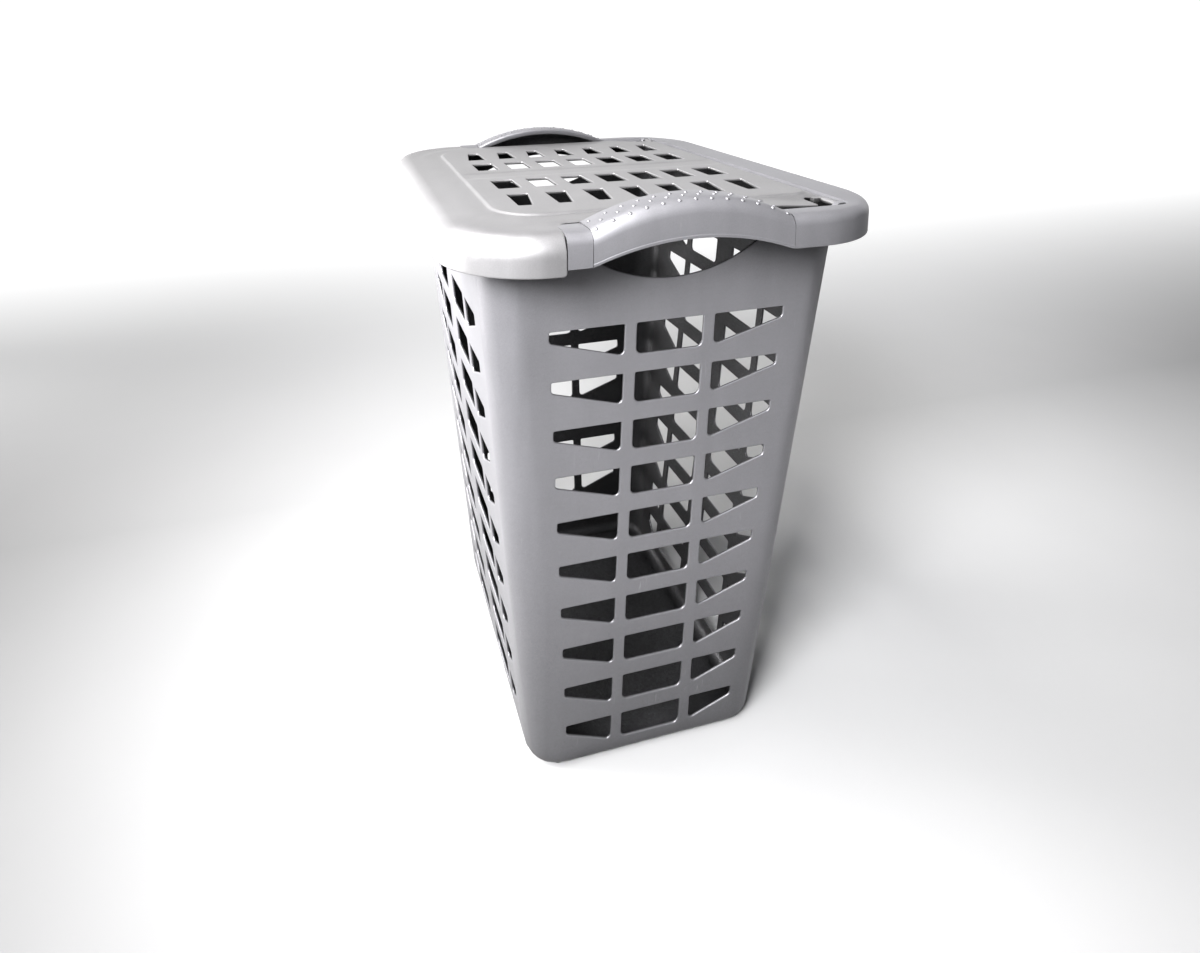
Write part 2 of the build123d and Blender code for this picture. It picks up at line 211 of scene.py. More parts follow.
def shell(bend, outline, holes, grid, thickness=WALL, rounding=EDGE_ROUND, closed=None):
    """A bent plate with holes. grid is the flat points inside it, of which those near an edge are left out.

    closed marks which outline edges get a wall through the thickness. Without it the whole outline is
    a rounded free edge. Returns vertices and faces.
    """
    outline = counter_clockwise(outline)
    holes = [counter_clockwise(hole) for hole in holes]
    rings = [edge_rings(outline, 1, thickness, rounding if closed is None else 0)]
    rings += [edge_rings(hole, -1, thickness, rounding) for hole in holes]
    loops = [ring[0][0] for ring in rings]
    grid = grid[inside(grid, offset_loop(loops[0], CLEAR))]
    for loop in loops[1:]:
        grid = grid[~inside(grid, offset_loop(loop, -CLEAR))]
    flat = np.concatenate(loops + [grid])
    edges = []
    start = 0
    for loop in loops:
        count = len(loop)
        edges += [(start + i, start + (i + 1) % count) for i in range(count)]
        start += count
    corners = [Vector(p) for p in flat]
    found = geometry.delaunay_2d_cdt(corners, edges, [], 1, 1e-9)
    source = [origin[0] for origin in found[3]]
    triangles = np.array([[source[i] for i in face] for face in found[2]])
    centres = flat[triangles].mean(1)
    keep = np.ones(len(triangles), bool)
    for loop in loops[1:]:
        keep &= ~inside(centres, loop)
    triangles = triangles[keep]
    a, b, c = (flat[triangles[:, i]] for i in range(3))
    area = (b[:, 0] - a[:, 0]) * (c[:, 1] - a[:, 1]) - (b[:, 1] - a[:, 1]) * (c[:, 0] - a[:, 0])
    triangles[area < 0] = triangles[area < 0][:, ::-1]

    points, normals = surface(bend, flat)
    total = len(flat)
    vertices = [points, points - normals * thickness]
    faces = [tuple(t) for t in triangles] + [tuple(t[::-1] + total) for t in triangles]
    count = 2 * total
    loop_start = 0
    for number, ring in enumerate(rings):
        size = len(ring[0][0])
        index = [np.arange(size) + loop_start]
        for flat_loop, depth in ring[1:-1]:
            place, normal = surface(bend, flat_loop)
            vertices.append(place - normal * depth)
            index.append(np.arange(size) + count)
            count += size
        index.append(np.arange(size) + loop_start + total)
        loop_start += size
        for first, second in zip(index, index[1:]):
            for i in range(size):
                j = (i + 1) % size
                if number == 0 and closed is not None and not closed[i]:
                    continue
                quad = (first[j], first[i], second[i], second[j])
                faces.append(quad if number == 0 else quad[::-1])
    return np.concatenate(vertices), faces


def lattice(places_u, places_v):
    """Every pair of the given places, as flat points."""
    return np.stack(np.meshgrid(places_u, places_v), -1).reshape(-1, 2)


def join(parts):
    """Several (vertices, faces) as one."""
    vertices, faces, start = [], [], 0
    for points, polygons in parts:
        vertices.append(points)
        faces += [tuple(int(i) + start for i in polygon) for polygon in polygons]
        start += len(points)
    return np.concatenate(vertices), faces


def sweep(rings, caps=True):
    """A closed section swept through a list of rings, with flat ends."""
    size = len(rings[0])
    faces = []
    for k in range(len(rings) - 1):
        for i in range(size):
            j = (i + 1) % size
            faces.append((k * size + i, k * size + j, (k + 1) * size + j, (k + 1) * size + i))
    if caps:
        last = (len(rings) - 1) * size
        faces.append(tuple(range(size))[::-1])
        faces.append(tuple(last + i for i in range(size)))
    return np.concatenate(rings), faces


def make_piece(name, part, material, weld=0.0, sharp=40):
    """A mesh object from vertices and faces, welded, with outward normals and smooth shading."""
    mesh = bpy.data.meshes.new(name)
    mesh.from_pydata([tuple(p) for p in part[0]], [], [tuple(int(i) for i in f) for f in part[1]])
    body = bmesh.new()
    body.from_mesh(mesh)
    if weld:
        bmesh.ops.remove_doubles(body, verts=body.verts, dist=weld)
    bmesh.ops.recalc_face_normals(body, faces=body.faces)
    body.to_mesh(mesh)
    body.free()
    mesh.shade_smooth()
    mesh.set_sharp_from_angle(angle=math.radians(sharp))
    mesh.materials.append(material)
    piece = bpy.data.objects.new(name, mesh)
    bpy.context.scene.collection.objects.link(piece)
    return piece


# Basket walls and floor

SLOT_ROWS = 10
SLOT_TOP = 460 * MM
SLOT_PITCH = 45.6 * MM
SLOT_HEIGHT = 28.5 * MM
SLOT_OUTER_HEIGHT = 10 * MM
SLOT_R = 5.5 * MM
SLOT_TOP_R = 1.2 * MM
END_SLOTS = {"middle": [(-30.4, 30.4)], "outer_from": 41.3, "outer_to": (106.8, 86.4)}
LONG_SLOTS = {"middle": [(-79, -18), (18, 79)], "outer_from": 90, "outer_to": (137, 114)}
HAND_HALF = 76 * MM
HAND_TIP = 524 * MM
HAND_LOW = 498 * MM
HAND_HIGH = 541 * MM
FLOOR_RECESS = 2.5 * MM
FLOOR_RECESS_INSET = 16 * MM


def half_x(z):
    """Half the tub's length at height z."""
    return FOOT_X + (TOP_X - FOOT_X) * z / WALL_TOP


def half_y(z):
    """Half the tub's width at height z."""
    return FOOT_Y + (TOP_Y - FOOT_Y) * z / WALL_TOP


def foot_turn(v):
    """Angle round the bottom edge, and height, for a layout height v. v below zero is under the edge."""
    turn = np.clip((BASE_ROUND - v) / BASE_ROUND, 0, math.pi / 2)
    z = np.where(v < BASE_ROUND, BASE_ROUND * (1 - np.sin(turn)), v)
    return turn, z


def wall_bend(out_half, side_half, outward, along, bow=0.0):
    """The map for one wall and the half corners beside it: u runs along the wall, v up it."""
    outward, along = np.array(outward), np.array(along)

    def bend(flat):
        s, v = flat[:, 0], flat[:, 1]
        turn, z = foot_turn(v)
        inset = BASE_ROUND * (1 - np.cos(turn))
        straight = side_half(z) - WALL_R
        phi = np.clip(np.abs(s) - straight, 0, None) / WALL_R
        radius = WALL_R - inset
        out = out_half(z) - WALL_R + radius * np.cos(phi)
        across = np.where(phi > 0, straight + radius * np.sin(phi), np.abs(s)) * np.sign(s)
        belly = np.clip(1 - (s / straight) ** 2, 0, 1) ** 2 * np.sin(math.pi * np.clip(z / WALL_TOP, 0, 1))
        out = out + bow * belly
        place = out[:, None] * outward + across[:, None] * along
        place[:, 2] = z
        return place

    return bend


def wall_outline(side_half):
    """The layout outline of a wall with its half corners, and which of its edges are closed."""
    foot_v = BASE_ROUND * (1 - math.pi / 2)
    heights = np.concatenate([
        np.linspace(foot_v, BASE_ROUND, 6)[:-1], np.linspace(BASE_ROUND, WALL_TOP, 61)
    ])
    z = foot_turn(heights)[1]
    edge = side_half(z) - WALL_R + WALL_R * math.pi / 4
    share = across_shares(side_half(0))
    bottom = np.stack([share * edge[0], np.full(len(share), foot_v)], 1)
    top = np.stack([share[::-1] * edge[-1], np.full(len(share), WALL_TOP)], 1)
    right = np.stack([edge, heights], 1)[1:-1]
    left = np.stack([-edge[::-1], heights[::-1]], 1)[1:-1]
    loop = np.concatenate([bottom, right, top, left])
    closed = np.zeros(len(loop), bool)
    first_top = len(bottom) + len(right)
    closed[first_top:first_top + len(top) - 1] = True
    return loop, closed


def across_shares(half):
    """Places across a wall, as shares of its half length: close together round the corners."""
    arc = WALL_R * math.pi / 4
    straight = half - WALL_R
    flat = np.linspace(-straight, straight, int(2 * straight / GRID) + 1)
    corner = np.linspace(0, arc, CORNER_STEPS + 1)[1:]
    return np.concatenate([-straight - corner[::-1], flat, straight + corner]) / (straight + arc)


def slot(inner, outer, top, inner_height, outer_height):
    """A wall slot: level top, bottom rising to its outer end, well rounded bottom corners."""
    low_round = min(SLOT_R, 0.4 * outer_height)
    corners = [
        (inner, top, SLOT_TOP_R),
        (outer, top, SLOT_TOP_R),
        (outer, top - outer_height, low_round),
        (inner, top - inner_height, low_round),
    ]
    return fillet_loop(corners)


def wall_slots(layout):
    """Every slot of one wall. The outer slots get shorter from the top row to the bottom row."""
    holes = []
    first, last = layout["outer_to"]
    for row in range(SLOT_ROWS):
        top = SLOT_TOP - row * SLOT_PITCH
        outer_to = first + (last - first) * row / (SLOT_ROWS - 1)
        for inner, outer in layout["middle"]:
            holes.append(slot(inner * MM, outer * MM, top, SLOT_HEIGHT, SLOT_HEIGHT))
        for side in (-1, 1):
            inner = side * layout["outer_from"] * MM
            holes.append(slot(inner, side * outer_to * MM, top, SLOT_HEIGHT, SLOT_OUTER_HEIGHT))
    return holes


def arc_points(start, middle, end, steps):
    """Points on the circle through three points, from start to end without the end itself."""
    (x0, y0), (x1, y1), (x2, y2) = start, middle, end
    d = 2 * (x0 * (y1 - y2) + x1 * (y2 - y0) + x2 * (y0 - y1))
    s0, s1, s2 = (x * x + y * y for x, y in (start, middle, end))
    cx = (s0 * (y1 - y2) + s1 * (y2 - y0) + s2 * (y0 - y1)) / d
    cy = (s0 * (x2 - x1) + s1 * (x0 - x2) + s2 * (x1 - x0)) / d
    radius = math.hypot(x0 - cx, y0 - cy)
    first = math.atan2(y0 - cy, x0 - cx)
    change = math.atan2(y2 - cy, x2 - cx) - first
    change = (change + math.pi) % (2 * math.pi) - math.pi
    angles = first + change * np.arange(steps) / steps
    return np.stack([cx + radius * np.cos(angles), cy + radius * np.sin(angles)], 1)


def hand_hole():
    """The lens-shaped hand hole under each handle."""
    left, right = (-HAND_HALF, HAND_TIP), (HAND_HALF, HAND_TIP)
    lower = arc_points(left, (0, HAND_LOW), right, 28)
    upper = arc_points(right, (0, HAND_HIGH), left, 20)
    return np.concatenate([lower, upper])


def build_tub(material):
    """The four walls with their rounded corners, and the floor with its shallow recess."""
    walls = [
        (half_x, half_y, (1, 0, 0), (0, 1, 0), END_SLOTS, True),
        (half_y, half_x, (0, 1, 0), (-1, 0, 0), LONG_SLOTS, False),
        (half_x, half_y, (-1, 0, 0), (0, -1, 0), END_SLOTS, True),
        (half_y, half_x, (0, -1, 0), (1, 0, 0), LONG_SLOTS, False),
    ]
    parts = []
    foot = []
    for out_half, side_half, outward, along, layout, is_end in walls:
        bend = wall_bend(out_half, side_half, outward, along, 0 if is_end else LONG_WALL_BOW)
        outline, closed = wall_outline(side_half)
        holes = wall_slots(layout) + ([hand_hole()] if is_end else [])
        shares = across_shares(side_half(0))
        grid_u = shares * (side_half(WALL_TOP / 2) - WALL_R * (1 - math.pi / 4))
        grid_v = np.concatenate([
            np.linspace(BASE_ROUND * (1 - math.pi / 2), BASE_ROUND, 6)[1:],
            np.arange(BASE_ROUND + GRID, WALL_TOP, GRID),
        ])
        parts.append(shell(bend, outline, holes, lattice(grid_u, grid_v), closed=closed))
        foot.append(bend(outline[:len(shares)])[:-1])
    ring = np.concatenate(foot)
    recess_x, recess_y = FOOT_X - FLOOR_RECESS_INSET, FOOT_Y - FLOOR_RECESS_INSET

    def floor_bend(flat):
        depth = rounded_distance(flat[:, 0], flat[:, 1], recess_x, recess_y, WALL_R / 2)
        z = FLOOR_RECESS * smooth(1.5 * MM, -1.5 * MM, depth)
        return np.stack([-flat[:, 0], flat[:, 1], z], 1)

    flat_ring = np.stack([-ring[:, 0], ring[:, 1]], 1)
    steps = np.array([-3, -1.5, 0, 1.5, 3]) * MM
    floor_u = np.concatenate([np.arange(-recess_x, recess_x, 2 * GRID), -recess_x + steps, recess_x + steps])
    floor_v = np.concatenate([np.arange(-recess_y, recess_y, 2 * GRID), -recess_y + steps, recess_y + steps])
    never = np.zeros(len(flat_ring), bool)
    floor_grid = lattice(np.unique(floor_u), np.unique(floor_v))
    parts.append(shell(floor_bend, flat_ring, [], floor_grid, closed=never))
    tub = make_piece("basket_tub", join(parts), material, weld=TUB_WELD)
    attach(tub, "basket")
    corners = [f"corner_{y}_{x}" for y in ("front", "rear") for x in SIDES]
    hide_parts("base_panel", "front_wall", "rear_wall", "end_wall_left", "end_wall_right", *corners)


# Rims and handles

REAR_CROWN = 4 * MM
CROWN_FOOT = LEDGE_TOP + 1 * MM
FOOT_CROWN = 16 * MM
FOOT_DISH = 1.2 * MM
TRENCH_DEPTH = 16 * MM
REAR_ROLL = 9 * MM
PROUD = 0.5 * MM
END_CREST_X = 213 * MM
CREST_R = 12 * MM
SEAM_GAP = 0.35 * MM

LIP_DEPTH = 7 * MM
ARCH_EASE = 0.5 * MM
HANDLE_ROLL = 12 * MM
SKIRT_RISE = 16 * MM
BEAD = 0.3 * MM

DOT_PITCH = 13.4 * MM
DOT_ROWS = ((6.5, 13), (15.5, 12), (24.5, 13))
DOT_R = 1.6 * MM


def outline_stations(half_a, half_b, radius, start_y, steps_end, steps_arc, steps_long):
    """Points and outward directions along the outer outline, from the right side round the rear (+Y)."""
    stations = []
    for y in np.linspace(start_y, half_b - radius, steps_end):
        stations.append(((half_a, y), (1.0, 0.0)))
    for angle in np.linspace(0, math.pi / 2, steps_arc)[1:]:
        out = (math.cos(angle), math.sin(angle))
        stations.append(((half_a - radius + radius * out[0], half_b - radius + radius * out[1]), out))
    for x in np.linspace(half_a - radius, 0, steps_long)[1:]:
        stations.append(((x, half_b), (0.0, 1.0)))
    mirrored = [((-x, y), (-out_x, out_y)) for (x, y), (out_x, out_y) in stations[:-1]]
    return stations + mirrored[::-1]


def inward_reach(point, out, half_a, half_b, radius):
    """How far inwards from a rim point a smaller rounded rectangle lies, along the rim's normal."""
    near, far = -20 * MM, 80 * MM
    for _ in range(40):
        middle = (near + far) / 2
        x, y = point[0] - out[0] * middle, point[1] - out[1] * middle
        if rounded_distance(np.array(x), np.array(y), half_a, half_b, radius) > 0:
            near = middle
        else:
            far = middle
    return far


def lifted(section, y):
    """A rim section raised with the soft start of the handle's arch, near the creases."""
    share = np.clip((section[:, 1] - RIM_SKIRT) / (RIM_TOP - RIM_SKIRT), 0, 1)
    lift = arch(y, SKIRT_RISE) + share * (arch(y, ARCH_RISE) - arch(y, SKIRT_RISE))
    outer = smooth(RIM_X - RIM_INNER_X, 0.5 * (RIM_X - RIM_INNER_X), section[:, 0])
    return np.stack([section[:, 0], section[:, 1] + lift * outer], 1)


def placed_section(point, out, section, sign_y=1):
    """A section of (distance inwards, height) points set up at one station of the rim."""
    x = point[0] - out[0] * section[:, 0]
    y = (point[1] - out[1] * section[:, 0]) * sign_y
    return np.stack([x, y, section[:, 1]], 1)


def flush_section(width, web, shelf, crown_foot, crown_run):
    """Section of the rim that lies level with the lid: shelf, crown, top, rolled edge and skirt.

    Distances run inwards from the rim's outside. web is where the basket wall stands, shelf the height
    of the floor beside the crown, crown_foot where the crown's slope starts and crown_run its length.
    """
    top = RIM_TOP - PROUD
    corners = [
        (width, shelf, 1.5 * MM),
        (width, crown_foot, 1.5 * MM),
        (width - crown_run, top, 0.5 * crown_run),
        (PROUD, top, REAR_ROLL),
        (PROUD, RIM_SKIRT, 0.9 * MM),
        (WALL, RIM_SKIRT, 0.9 * MM),
        (WALL, top - WALL, REAR_ROLL - WALL),
        (min(width - WALL, web - 3 * MM), top - WALL, 1 * MM),
        (min(width - WALL, web - 3 * MM), shelf - WALL, 0.5 * MM),
        (web - 0.3 * MM, shelf - WALL, 0.3 * MM),
        (web + WALL + 0.3 * MM, shelf - WALL, 0.3 * MM),
        (web + WALL + 0.3 * MM, shelf, 0.5 * MM),
    ]
    return fillet_loop(corners, 5)


def build_rear_rim(material):
    """The wide rim along the rear and round both rear corners."""
    rings = []
    for point, out in outline_stations(RIM_X, RIM_Y, RIM_R, CREASE_Y + SEAM_GAP, 10, 17, 8):
        width = inward_reach(point, out, END_CREST_X, RIM_INNER_Y, CREST_R)
        web = inward_reach(point, out, TOP_X, TOP_Y, WALL_R)
        shelf = LEDGE_TOP - TRENCH_DEPTH * (1 - smooth(0.3, 0.7, abs(out[1])))
        section = flush_section(width, web, shelf, CROWN_FOOT, REAR_CROWN)
        rings.append(placed_section(point, out, lifted(section, point[1])))
    rim = make_piece("rear_rim_band", sweep(rings), material)
    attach(rim, "basket")
    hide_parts("rear_rim", "rear_rim_corner_left", "rear_rim_corner_right")


def build_handle_foot(name, side, material):
    """The short straight length of rim between the lid's seam and the handle."""
    rings = []
    for y in np.linspace(SEAM_Y + SEAM_GAP, -CREASE_Y - SEAM_GAP, 9):
        point, out = (side * RIM_X, y), (float(side), 0.0)
        width = RIM_X - RIM_INNER_X
        dish = RIM_TOP - FOOT_DISH
        section = flush_section(width, RIM_X - TOP_X, LEDGE_TOP, dish, FOOT_CROWN)
        rings.append(placed_section(point, out, lifted(section, y)))
    foot = make_piece(f"handle_foot_rim_{name}", sweep(rings), material)
    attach(foot, "basket")
    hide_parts(f"handle_foot_{name}")


def front_section(web):
    """Section of the lower front rim that the lid's skirt drops over."""
    top = FRONT_RIM_TOP
    inside_top = top - WALL
    corners = [
        (web + WALL, top, 0.8 * MM),
        (0, top, 6 * MM),
        (0, FRONT_RIM_SKIRT, 0.8 * MM),
        (WALL, FRONT_RIM_SKIRT, 0.8 * MM),
        (WALL, inside_top, 3.5 * MM),
        (web - 0.3 * MM, inside_top, 0.8 * MM),
        (web - 0.3 * MM, WALL_TOP - 3 * MM, 0.3 * MM),
        (web + WALL, WALL_TOP - 3 * MM, 0.3 * MM),
    ]
    return fillet_loop(corners, 4)


def build_front_rim(material):
    """The lower rim round the front and both front corners."""
    radius = RIM_R - (RIM_X - FRONT_RIM_X)
    rings = []
    for point, out in outline_stations(FRONT_RIM_X, FRONT_RIM_Y, radius, -SEAM_Y + SEAM_GAP, 3, 13, 8):
        web = inward_reach(point, out, TOP_X, TOP_Y, WALL_R)
        rings.append(placed_section(point, out, front_section(web), sign_y=-1))
    rim = make_piece("front_rim_tray", sweep(rings), material)
    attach(rim, "basket")
    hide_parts("front_rim", "front_rim_corner_left", "front_rim_corner_right")


def build_ledge(name, side, material):
    """The shelf on top of an end wall that carries the lid's short edge."""
    lowest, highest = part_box(f"end_ledge_{name}")
    inner, outer = sorted((abs(lowest.x), abs(highest.x)))
    corners = [
        (inner, lowest.z, 0.4 * MM),
        (outer + 1 * MM, lowest.z, 0.8 * MM),
        (outer + 1 * MM, highest.z, 0.8 * MM),
        (inner, highest.z, 0.8 * MM),
    ]
    section = fillet_loop(corners)
    rings = []
    for y in np.linspace(lowest.y, highest.y, 12):
        rings.append(np.stack([side * section[:, 0], np.full(len(section), y), section[:, 1]], 1))
    ledge = make_piece(f"end_shelf_{name}", sweep(rings), material)
    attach(ledge, "basket")
    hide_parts(f"end_ledge_{name}")


def arch(y, rise):
    """Height of the handle's circular arch above the rim, running out softly past the creases."""
    radius = (CREASE_Y * CREASE_Y + rise * rise) / (2 * rise)
    height = math.sqrt(max(radius * radius - y * y, 0)) - (radius - rise)
    return ARCH_EASE * math.log1p(math.exp(height / ARCH_EASE))


def handle_section(y):
    """Section of the grip at y: inner lip, flat top, rolled outer edge and skirt with a fine bead."""
    top = RIM_TOP + arch(y, ARCH_RISE)
    skirt = RIM_SKIRT + arch(y, SKIRT_RISE)
    width = RIM_X - RIM_INNER_X
    corners = [
        (width, top - LIP_DEPTH, 0.9 * MM),
        (width, top, 2.6 * MM),
        (BEAD, top, HANDLE_ROLL),
        (BEAD, skirt + 3.0 * MM, 0.5 * MM),
        (0, skirt + 2.4 * MM, 0.5 * MM),
        (0, skirt, 0.9 * MM),
        (WALL, skirt, 0.9 * MM),
        (WALL, top - WALL, HANDLE_ROLL - WALL),
        (width - WALL, top - WALL, 1.2 * MM),
        (width - WALL, top - LIP_DEPTH, 0.9 * MM),
    ]
    return fillet_loop(corners, 5)


def grip_dots(side):
    """Three staggered rows of small round grip dots across the top of a handle."""
    parts = []
    for inset, count in DOT_ROWS:
        for i in range(count):
            y = (i - (count - 1) / 2) * DOT_PITCH
            drop = max(HANDLE_ROLL + BEAD - inset * MM, 0)
            sink = HANDLE_ROLL - math.sqrt(HANDLE_ROLL ** 2 - drop ** 2)
            centre = Vector((side * (RIM_X - inset * MM), y, RIM_TOP + arch(y, ARCH_RISE) - sink))
            tilt = Vector((side * drop, 0.0, math.sqrt(HANDLE_ROLL ** 2 - drop ** 2))).normalized()
            parts.append(dot(centre, tilt))
    return parts


def dot(centre, normal):
    """A small flattened dome, sunk half way into the surface."""
    turn = Vector((0, 0, 1)).rotation_difference(normal).to_matrix()
    dome = bmesh.new()
    bmesh.ops.create_uvsphere(dome, u_segments=12, v_segments=8, radius=1.0)
    shape = Matrix.Diagonal((DOT_R, DOT_R, DOT_HEIGHT))
    points = np.array([centre + turn @ (shape @ v.co) for v in dome.verts])
    faces = [tuple(v.index for v in f.verts) for f in dome.faces]
    dome.free()
    return points, faces


def build_handle(name, side, material):
    """One arched handle with its grip dots."""
    rings = []
    for y in np.linspace(-CREASE_Y, CREASE_Y, 57):
        rings.append(placed_section((side * RIM_X, y), (float(side), 0.0), handle_section(y)))
    handle = make_piece(f"handle_arch_{name}", join([sweep(rings)] + grip_dots(side)), material)
    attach(handle, "basket")
    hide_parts(f"handle_grip_{name}", f"handle_skirt_{name}")


def build_knuckle(name, side, material):
    """The round-topped hinge knuckle in a rear corner of the rim."""
    half = (SOCKET_HIGH.y - SOCKET_LOW.y) / 2
    corners = [
        (-half, SOCKET_LOW.z, 0.6 * MM),
        (half, SOCKET_LOW.z, 0.6 * MM),
        (half, SOCKET_HIGH.z - 1 * MM, half * 0.8),
        (-half, SOCKET_HIGH.z - 1 * MM, half * 0.8),
    ]
    section = fillet_loop(corners, 6)
    rings = []
    for x in (SOCKET_LOW.x, SOCKET_LOW.x + 0.5 * MM, SOCKET_HIGH.x):
        shrink = 0.9 if x == SOCKET_LOW.x else 1.0
        y = HINGE.y + section[:, 0] * shrink
        z = HINGE.z + (section[:, 1] - HINGE.z) * shrink
        rings.append(np.stack([np.full(len(section), side * x), y, z], 1))
    knuckle = make_piece(f"hinge_knuckle_{name}", sweep(rings), material)
    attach(knuckle, "basket")
    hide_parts(f"hinge_socket_{name}")


# Lid

LID_ROLL = 16 * MM
LID_WALL = 2.8 * MM
LID_EDGE_ROUND = 0.9 * MM
LID_GRID = 6 * MM
ROLL_GRID = 2.5 * MM
LID_EDGE_X = 204 * MM
PLATEAU_STEP = 1.7 * MM
PLATEAU_FRONT = 142.5 * MM
PLATEAU_REAR = 143 * MM
PLATEAU_HALF = (180 * MM, 173 * MM)
PLATEAU_R = 42 * MM
PLATEAU_REAR_R = 14 * MM
BAND_HALF = 13 * MM
BAND_DEPTH = 0.5 * MM
BROW_DROP = 0.7 * MM
HINGE_DIP = 2.5 * MM
NOTCH_X = 179 * MM
NOTCH_Y = 131 * MM
LID_SLOT_ROWS = ((-144, -97), (-70, -29), (29, 70), (97, 144))
LID_SLOT_COLUMNS = 7
LID_SLOT_PITCH = 36 * MM
LID_SLOT_WIDTH = 21.6 * MM
LID_SLOT_WIDE = 19.5 * MM
LID_SLOT_NARROW = 12 * MM


def plateau_edge(x, y):
    """Signed distance from the outline of the lid's raised panel, negative inside it."""
    share = np.clip((y + PLATEAU_FRONT) / (PLATEAU_FRONT + PLATEAU_REAR), 0, 1)
    half = PLATEAU_HALF[0] + (PLATEAU_HALF[1] - PLATEAU_HALF[0]) * share
    middle = (PLATEAU_REAR - PLATEAU_FRONT) / 2
    length = (PLATEAU_REAR + PLATEAU_FRONT) / 2
    radius = np.where(y < middle, PLATEAU_R, PLATEAU_REAR_R)
    return rounded_distance(x / half * PLATEAU_HALF[0], y - middle, PLATEAU_HALF[0], length, radius)


def plateau_height(x, y):
    """Height of the lid's top below its highest level: the raised slotted panel and its centre band."""
    edge = plateau_edge(x, y)
    step = -PLATEAU_STEP * smooth(-1.8 * MM, 1.8 * MM, edge)
    band = -BAND_DEPTH * smooth(BAND_HALF + 2 * MM, BAND_HALF - 2 * MM, np.abs(x))
    brow = -BROW_DROP * smooth(21 * MM, 27 * MM, edge) * smooth(-60 * MM, -100 * MM, y)
    hinge_dip = -HINGE_DIP * smooth(1 * MM, 12 * MM, edge) * smooth(85 * MM, 130 * MM, y)
    return step + band * smooth(4 * MM, -8 * MM, edge) + brow + hinge_dip


def plateau_points():
    """Flat points in close rows along the outline of the raised panel, so that its step is crisp."""
    points = []
    for offset in (-2.4, -1.2, 0, 1.2, 2.4):
        front, rear = -PLATEAU_FRONT - offset * MM, PLATEAU_REAR + offset * MM
        half_front, half_rear = PLATEAU_HALF[0] + offset * MM, PLATEAU_HALF[1] + offset * MM
        corners = [
            (-half_front, front, PLATEAU_R + offset * MM),
            (half_front, front, PLATEAU_R + offset * MM),
            (half_rear, rear, PLATEAU_REAR_R + offset * MM),
            (-half_rear, rear, PLATEAU_REAR_R + offset * MM),
        ]
        points.append(subdivided(fillet_loop(corners, 16), 3.5 * MM))
    return np.concatenate(points)


def lid_bend(flat):
    """The lid's map: flat top, rolled over at the front and front corners, then a straight skirt."""
    x, y = flat[:, 0], flat[:, 1]
    inner_x, inner_y, inner_r = RIM_X - LID_ROLL, RIM_Y - LID_ROLL, RIM_R - LID_ROLL
    y_front = np.minimum(y, 0)
    over_x = np.maximum(np.abs(x) - (inner_x - inner_r), 0)
    over_y = np.maximum(np.abs(y_front) - (inner_y - inner_r), 0)
    length = np.hypot(over_x, over_y)
    out_x = np.sign(x) * over_x / np.maximum(length, 1e-9)
    out_y = -over_y / np.maximum(length, 1e-9)
    past = np.maximum(length - inner_r, 0)
    turn = np.clip(past / LID_ROLL, 0, math.pi / 2)
    reach = LID_ROLL * np.sin(turn)
    drop = LID_ROLL * (1 - np.cos(turn)) + np.maximum(past - LID_ROLL * math.pi / 2, 0)
    place_x = x + out_x * (reach - past)
    place_y = y + out_y * (reach - past)
    z = LID_TOP - drop + plateau_height(x, y)
    return np.stack([place_x, place_y, z], 1)


def lid_outline():
    """The lid's layout: wide rolled front, cut back beside the handles, notched at the rear corners."""
    straight = LID_TOP - PLATEAU_STEP - LID_ROLL - LID_SKIRT
    past = LID_ROLL * math.pi / 2 + straight
    wide_x, wide_y = RIM_X - LID_ROLL + past, RIM_Y - LID_ROLL + past
    radius = RIM_R - LID_ROLL + past
    side = [
        (wide_x, -(wide_y - radius)),
        (wide_x, SEAM_Y),
        (RIM_X - LID_ROLL + 12 * MM, SEAM_Y),
        (RIM_X - LID_ROLL + 2 * MM, SEAM_Y + 2 * MM),
        (LID_EDGE_X + 2.5 * MM, SEAM_Y + 5.5 * MM),
        (LID_EDGE_X, SEAM_Y + 10 * MM),
        (LID_EDGE_X, 0),
        (LID_EDGE_X, NOTCH_Y),
        (NOTCH_X, NOTCH_Y),
        (NOTCH_X, LID_REAR),
    ]
    radii = [0, 2.6, 8, 6, 3, 6, 0, 3, 4, 3]
    corners = [(x, y, r * MM) for (x, y), r in zip(side, radii)]
    corners += [(-x, y, r) for x, y, r in reversed(corners)]
    loop = list(map(tuple, fillet_loop(corners, 5)))
    centre_x, centre_y = wide_x - radius, -(wide_y - radius)
    front = []
    for angle in np.linspace(math.pi, 1.5 * math.pi, 25)[1:]:
        front.append((-centre_x + radius * math.cos(angle), centre_y + radius * math.sin(angle)))
    for x in np.linspace(-centre_x, centre_x, 15)[1:-1]:
        front.append((x, -wide_y))
    for angle in np.linspace(1.5 * math.pi, 2 * math.pi, 25)[:-1]:
        front.append((centre_x + radius * math.cos(angle), centre_y + radius * math.sin(angle)))
    return subdivided(np.array(loop + front), GRID)


def subdivided(loop, longest):
    """The loop with points added so that no edge is longer than longest."""
    points = []
    for start, end in zip(loop, np.roll(loop, -1, 0)):
        count = max(1, math.ceil(np.linalg.norm(end - start) / longest))
        points += [start + (end - start) * i / count for i in range(count)]
    return np.array(points)


def thinned(places):
    """The places in order, without those nearly equal to the one before."""
    places = np.sort(places)
    return places[np.concatenate([[True], np.diff(places) > 0.5 * MM])]


